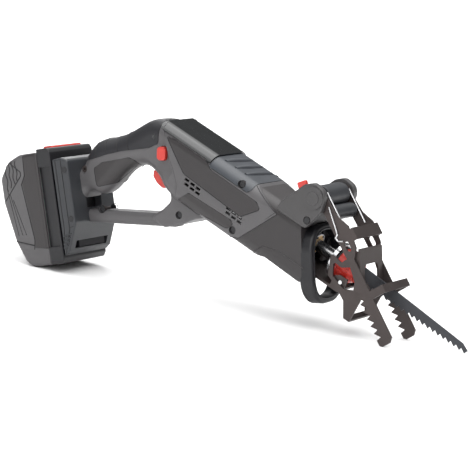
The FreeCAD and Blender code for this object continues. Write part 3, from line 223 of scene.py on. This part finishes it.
def rounded(points, radius, steps=5):
    """An outline whose corners are rounded."""
    result = []
    for i, here in enumerate(points):
        here = Vector(here)
        back = Vector(points[i - 1]) - here
        ahead = Vector(points[(i + 1) % len(points)]) - here
        reach = min(radius, 0.45 * back.length, 0.45 * ahead.length)
        first = here + back.normalized() * reach
        last = here + ahead.normalized() * reach
        for k in range(steps + 1):
            t = k / steps
            result.append(tuple(first * (1 - t) ** 2 + here * 2 * t * (1 - t) + last * t ** 2))
    return result


def surface(*names):
    """A tree over the outer faces of CAD nodes, to find where a ray first meets them."""
    verts = []
    faces = []
    for name in names:
        mesh = NODES[name].data
        base = len(verts)
        verts += [vertex.co.copy() for vertex in mesh.vertices]
        faces += [tuple(base + index for index in polygon.vertices) for polygon in mesh.polygons]
    return BVHTree.FromPolygons(verts, faces)


HALF_WIDTH = max(abs(corner[1]) for corner in start_bounds)


def draped(tree, points, side, lift=0.0):
    """Where a path drawn in the side plane lands on a surface seen from one side; misses are left out."""
    found = []
    for x, z in dense(points):
        hit = tree.ray_cast(at(x, side * 90, z), Vector((0, -side, 0)))[0]
        if hit:
            found.append(hit + Vector((0, side * lift / 1000, 0)))
    return found


def seam(name, tree, points, body, radius=0.35, finish="seam", lift=0.0, closed=False, sides=(-1, 1)):
    """A thin dark bar laid along both flanks, or one, and kept within the model's width."""
    path = rounded(points, 3) if closed else points
    for side in sides:
        found = draped(tree, path + path[:1] if closed else path, side, lift)
        reach = HALF_WIDTH - radius / 1000
        inside = [Vector((spot.x, max(-reach, min(reach, spot.y)), spot.z)) for spot in found]
        if len(inside) > 1:
            wire(f"{name}_{'left' if side > 0 else 'right'}", inside, radius, finish, body)


def screw(name, x, z, half, body, radius=3.4):
    """The dark head of a recessed star screw on both sides."""
    for side in (-1, 1):
        label = f"{name}_{'left' if side > 0 else 'right'}"
        outward = Vector((0, side, 0))
        disc(label, at(x, side * (half - 3.2), z), outward, radius, 1.4, "black_plastic", body)
        ring = [at(x + (radius + 0.5) * math.cos(a * math.pi / 16), side * (half - 0.4),
                   z + (radius + 0.5) * math.sin(a * math.pi / 16)) for a in range(32)]
        wire(f"{label}_rim", ring, 0.35, "seam", body, closed=True)


# ---------------------------------------------------------------- housing details

SHELLS = surface("left_shell", "right_shell", "left_side_panel", "right_side_panel", "left_lower_panel",
                 "right_lower_panel", "left_grip_inset", "right_grip_inset", "rear_cover", "top_pad",
                 "grip_overmold")
FRONT = surface("front_cover", "nose_boot", "left_shell", "right_shell")
SIDE_PANEL = [(-99, 18), (-84, 8), (-64, -5), (13, -8.5), (29, 9), (22, 14), (-38, 14.5), (-46, 19.5),
              (-90, 19.5)]
LOWER_PANEL = [(-60, -33), (-50, -19), (5, -17), (9, -20), (5, -27), (-28, -31), (-34, -34.5)]
GRIP_INSET = [(-170, -62), (-164, -52), (-138, -31), (-131, -31), (-124, -37), (-140, -62), (-158, -78)]
seam("side_panel_line", SHELLS, SIDE_PANEL, "body", closed=True)
seam("lower_panel_line", SHELLS, LOWER_PANEL, "body", closed=True)
seam("grip_inset_line", SHELLS, GRIP_INSET, "body", radius=0.3, closed=True)
seam("housing_rim", SHELLS, [(-109, 30), (-106, 22), (-92, 5), (-76, -9), (-66, -20), (-63, -30)], "body",
     radius=0.5, finish="grey_plastic")
seam("cover_line", SHELLS, [(-109, 21.8), (-48, 21.8), (-42, 18.6), (-42, 26)], "body")
seam("pad_line", SHELLS, [(-41.5, 16.5), (8, 16.5), (11, 20), (11, 26)], "body")
seam("front_line", FRONT, [(12, 25.5), (47, 15), (20, -29), (8, -35)], "body", radius=0.4)
seam("front_step", FRONT, [(39, -35), (48, -21), (65, -16), (97, -16)], "body", radius=0.6,
     finish="dark_grey_plastic")

# Lines that ring the grip's soft cover: each loop is found by rays towards the grip's axis.
OVERMOLD = surface("grip_overmold")


def grip_loop(name, middle, slope, radius):
    along = Vector((math.cos(slope), 0, math.sin(slope)))
    up = Vector((-along.z, 0, along.x))
    centre = Vector((middle[0], 0, middle[1]))
    spots = []
    for step in range(97):
        angle = math.radians(-60 + 300 * step / 96)
        ray = Vector((0, math.cos(angle), 0)) + up * math.sin(angle)
        outside = centre + ray * 80
        toward = TOOL.to_3x3() @ -ray
        hit = OVERMOLD.ray_cast(TOOL @ outside, toward.normalized(), 0.065)[0]
        if hit:
            spots.append(hit)
    if len(spots) > 2:
        wire(name, spots, radius, "seam", "body")


GRIP_SLOPE = math.radians(46)
for number, distance in enumerate((-36, -23, -10, 4, 18)):
    middle = (-153 + distance * math.cos(GRIP_SLOPE), -37.5 + distance * math.sin(GRIP_SLOPE))
    grip_loop(f"grip_ring_{number}", middle, GRIP_SLOPE, 0.45)

# Ridges over the soft pad on top of the motor.
for number in range(3):
    x = -33 + 13 * number
    ridge = [at(x + 0.12 * (y + 20), y, 25.6 + 0.9 - 0.0022 * y * y) for y in range(-21, 22, 3)]
    wire(f"pad_ridge_{number}", ridge, 2.6, "pad_rubber", "body")
disc("pad_badge", at(-118, -21.2, 6), Vector((0, -1, 0)), 2.6, 1.2, "black_gloss", "body")

for number, (x, z, half) in enumerate(((-1, 20, 33), (-55, -49, 23), (11, -25, 33), (-146, -98, 12))):
    screw(f"screw_{number}", x, z, half, "body")

# ---------------------------------------------------------------- foot and pack details

FOOT = surface("battery_foot")
for number, out in enumerate((-4.5, -11.5)):
    step = [on_pack(-1, out), on_pack(74, out), on_pack(88, out + 3)]
    seam(f"foot_step_{number}", FOOT, step, "body", radius=0.45)
seam("foot_front_line", FOOT, [on_pack(70, -19), on_pack(72, -12), on_pack(100, -2)], "body", radius=0.4)
for number in range(4):
    seam(f"foot_rib_{number}", FOOT, [on_pack(78 + 4 * number, -13 + 1.8 * number),
                                      on_pack(80 + 4 * number, -4 + 1.2 * number)], "body", radius=0.9,
         finish="charcoal_plastic")
for number, along in enumerate((12, 63)):
    x, z = on_pack(along, -15)
    for side in (-1, 1):
        disc(f"foot_screw_{number}_{side + 1}", at(x, side * 36.6, z), Vector((0, side, 0)), 3.3, 0.9,
             "black_plastic", "body")

PACK = surface("pack_cover", "pack_label_strips", "pack_base")
STRIP_EDGE = [on_pack(-10, 36), on_pack(12, 37), on_pack(21, 42.5), on_pack(80, 35), on_pack(90, 37)]
seam("strip_edge", PACK, STRIP_EDGE, "battery", radius=0.45)
seam("pack_lower_line", PACK, [on_pack(79, 61), on_pack(86, 36), on_pack(90, 18)], "battery", radius=0.6)
seam("pack_base_line", PACK, [on_pack(-10, 18), on_pack(107, 18)], "battery", radius=0.4)
RIBBED_EDGE = [on_pack(-6, 58), on_pack(8, 42), on_pack(12, 42), on_pack(36, 66)]
seam("ribbed_edge", PACK, RIBBED_EDGE, "battery", radius=0.5)
for number in range(4):
    wave = [on_pack(-4 + 3.4 * k, 47 + 4.6 * number + 0.9 * math.sin(1.4 * k + number))
            for k in range(7 + number)]
    seam(f"pack_wave_{number}", PACK, wave, "battery", radius=0.5)
for number in range(3):
    rib = [on_pack(24 + 6 * number, 62 - 3 * number), on_pack(74, 55 - 5 * number)]
    seam(f"pack_rib_{number}", PACK, rib, "battery", radius=0.3)

# ---------------------------------------------------------------- nose, collar and shoe details

def nose_loop(name, inset, out, radius, finish):
    """A rounded oblong ring parallel to the nose's face."""
    half_y = 32 - inset
    half_z = 39 - inset
    outline = rounded([(-half_y, -half_z), (half_y, -half_z), (half_y, half_z), (-half_y, half_z)],
                      max(30 - inset, 8), 12)
    wire(name, [NOSE @ Vector((out, y, z)) for y, z in outline], radius, finish, "body", closed=True)


nose_loop("boot_lip", 5.0, -0.6, 1.2, "boot_rubber")
nose_loop("boot_groove", 0.6, -12.0, 0.6, "seam")
for number in range(10):
    angle = 2 * math.pi * number / 10
    spoke = [NOSE @ Vector((-9, r * math.cos(angle), 9 + r * math.sin(angle))) for r in (16, 24)]
    wire(f"mouth_rib_{number}", spoke, 1.6, "black_plastic", "body")
X_WAY = TOOL.to_3x3() @ Vector((1, 0, 0))
for number in range(6):
    angle = math.radians(60 * number)
    grip_bar = [at(x, 13.6 * math.cos(angle), 13.6 * math.sin(angle)) for x in (118, 133)]
    wire(f"collar_rib_{number}", grip_bar, 1.5, "red_plastic", "plunger_set")
disc("collar_seat", at(115.6, 0, 0), X_WAY, 15.4, 2.0, "black_plastic", "plunger_set")

# ---------------------------------------------------------------- branch holder details

for side in (-1, 1):
    label = "left" if side > 0 else "right"
    out = side * 26.3
    leg = [(14, 7.6), (40, 3.4), (41.5, 2.6), (43, -0.5), (47, 0.4), (49.5, 5.5)]
    outward = Vector((0, side, 0))
    leg_path = [ARM @ Vector((u, out, v)) for u, v in dense(leg, 1.5)]
    wire(f"spring_leg_{label}", leg_path, 0.9, "bright_steel", "holder")
    disc(f"pivot_cap_{label}", at(75, side * 34.0, 50), outward, 6.5, 1.2, "bracket_grey", "body", 0.5)
    disc(f"ear_screw_{label}", at(79, side * 32.0, 27.5), outward, 3.3, 1.5, "black_plastic", "body")
disc("roller", ARM @ Vector((19, -20, 3)), Vector((0, 1, 0)), 7.4, 40, "charcoal_plastic", "holder", 1.5)
disc("hub_sleeve", at(75, -20, 50), Vector((0, 1, 0)), 11.3, 40, "charcoal_plastic", "holder", 1.0)

# ---------------------------------------------------------------- floor, light and camera

HORIZON_LIGHT = 0.15
OVERHEAD_LIGHT = 2.6


def area_light(name, place, target, width, height, power):
    lamp = bpy.data.lights.new(name, "AREA")
    lamp.shape = "RECTANGLE"
    lamp.size = width
    lamp.size_y = height
    lamp.energy = power
    obj = bpy.data.objects.new(name, lamp)
    obj.location = place
    obj.rotation_euler = (Vector(target) - Vector(place)).to_track_quat("-Z", "Y").to_euler()
    bpy.context.collection.objects.link(obj)


floor_mesh = bpy.data.meshes.new("floor")
floor_mesh.from_pydata([(-6, -6, 0), (6, -6, 0), (6, 6, 0), (-6, 6, 0)], [], [(0, 1, 2, 3)])
floor = bpy.data.objects.new("floor", floor_mesh)
bpy.context.collection.objects.link(floor)
floor_mesh.materials.append(material("pale_floor", (0.94, 0.94, 0.94), 0.8, wear=0.0))

# The room is dim low down and bright overhead, like a large soft box: glossy tops reflect the dim part.
world = bpy.data.worlds.new("studio")
world.use_nodes = True
room = world.node_tree
room.nodes["Background"].inputs["Color"].default_value = (1, 1, 1, 1)
compass = room.nodes.new("ShaderNodeTexCoord")
split = room.nodes.new("ShaderNodeSeparateXYZ")
fade = room.nodes.new("ShaderNodeMapRange")
fade.inputs["From Min"].default_value = 0.5
fade.inputs["From Max"].default_value = 0.85
fade.inputs["To Min"].default_value = HORIZON_LIGHT
fade.inputs["To Max"].default_value = OVERHEAD_LIGHT
room.links.new(compass.outputs["Generated"], split.inputs["Vector"])
room.links.new(split.outputs["Z"], fade.inputs["Value"])
room.links.new(fade.outputs["Result"], room.nodes["Background"].inputs["Strength"])
bpy.context.scene.world = world
bpy.context.scene.view_settings.view_transform = "Standard"
MIDDLE = (0.0, 0.0, 0.08)
area_light("top_box", (-0.1, -0.1, 1.3), MIDDLE, 1.2, 0.8, 5)
area_light("side_box", (0.4, -1.4, 0.7), MIDDLE, 0.9, 0.9, 9)
area_light("edge_box", (-0.9, 0.9, 0.9), MIDDLE, 0.3, 1.2, 5)

# The camera looks at the saw from its right, a little from the front and from above.
AZ = math.radians(26)
EL = math.radians(20.79)
ROLL = math.radians(24.97)
DISTANCE = 2050
SENSOR = 36
FRAME_WIDTH = 470
toward = Vector((math.cos(EL) * math.sin(AZ), -math.cos(EL) * math.cos(AZ), math.sin(EL)))
level = Vector((math.cos(AZ), math.sin(AZ), 0))
upward = toward.cross(level)
right = level * math.cos(ROLL) + upward * math.sin(ROLL)
up = upward * math.cos(ROLL) - level * math.sin(ROLL)
turn = TOOL.to_3x3().normalized()
aim = Vector((0, 0, -41.5))
axes = [(turn @ direction).normalized() for direction in (right, up, toward)]
camera_data = bpy.data.cameras.new("camera")
camera_data.sensor_width = SENSOR
camera_data.lens = SENSOR * DISTANCE / FRAME_WIDTH
camera_data.clip_end = 50
camera = bpy.data.objects.new("camera", camera_data)
camera_turn = Matrix(axes).transposed().to_quaternion()
camera.matrix_world = Matrix.LocRotScale(TOOL @ (aim + toward * DISTANCE), camera_turn, None)
bpy.context.collection.objects.link(camera)
bpy.context.scene.camera = camera
